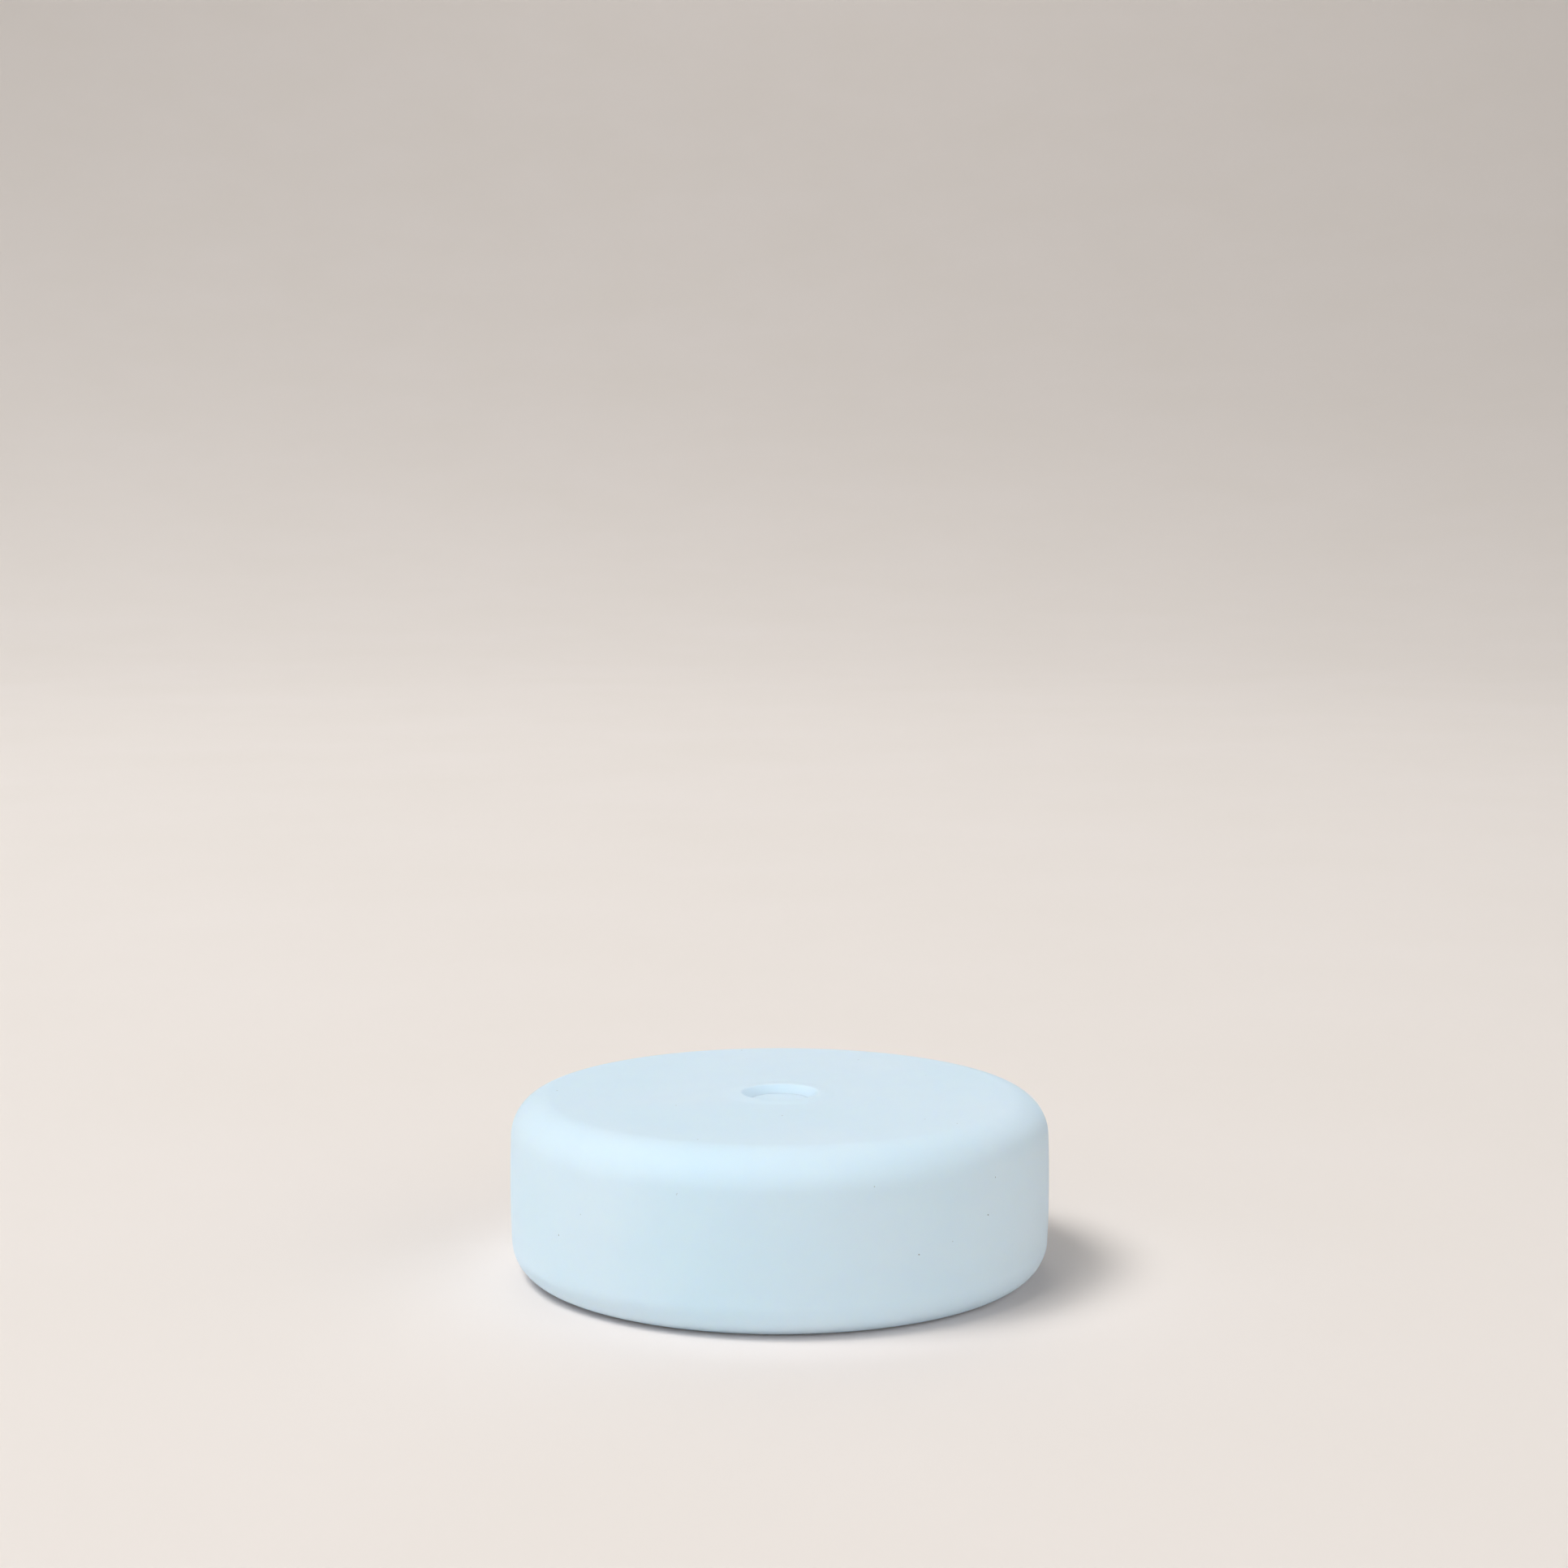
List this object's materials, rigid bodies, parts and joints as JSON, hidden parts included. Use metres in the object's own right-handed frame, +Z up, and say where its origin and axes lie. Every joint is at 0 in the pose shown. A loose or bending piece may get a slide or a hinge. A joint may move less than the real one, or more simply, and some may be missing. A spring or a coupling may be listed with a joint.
{
  "type": "hockey puck",
  "caption": "Soft-skinned training puck: a seamless round-edged disc with a poured core, and a central fill port closed by a push-in plug in a dimple.",
  "frame": {"origin": "centre of the flat face that the puck rests on", "axes": "+Z up along the puck's axis, out of the plug in the dimple; the puck is round, so +X and +Y are any two directions across it"},
  "size_m": [0.0762, 0.0762, 0.0254],
  "materials": {
    "skin_vinyl": "satin",
    "core_elastomer": "matte",
    "seat_vinyl": "satin",
    "plug_vinyl": "satin"
  },
  "bodies": {
    "puck": {"skin": "skin_vinyl", "core": "core_elastomer", "port_seat": "seat_vinyl"},
    "plug": {"port_plug": "plug_vinyl"}
  },
  "joints": [
    {"name": "plug_pull", "type": "slide", "parent": "puck", "child": "plug", "axis": [0, 0, 1], "range_m": [0, 0.015]}
  ]
}
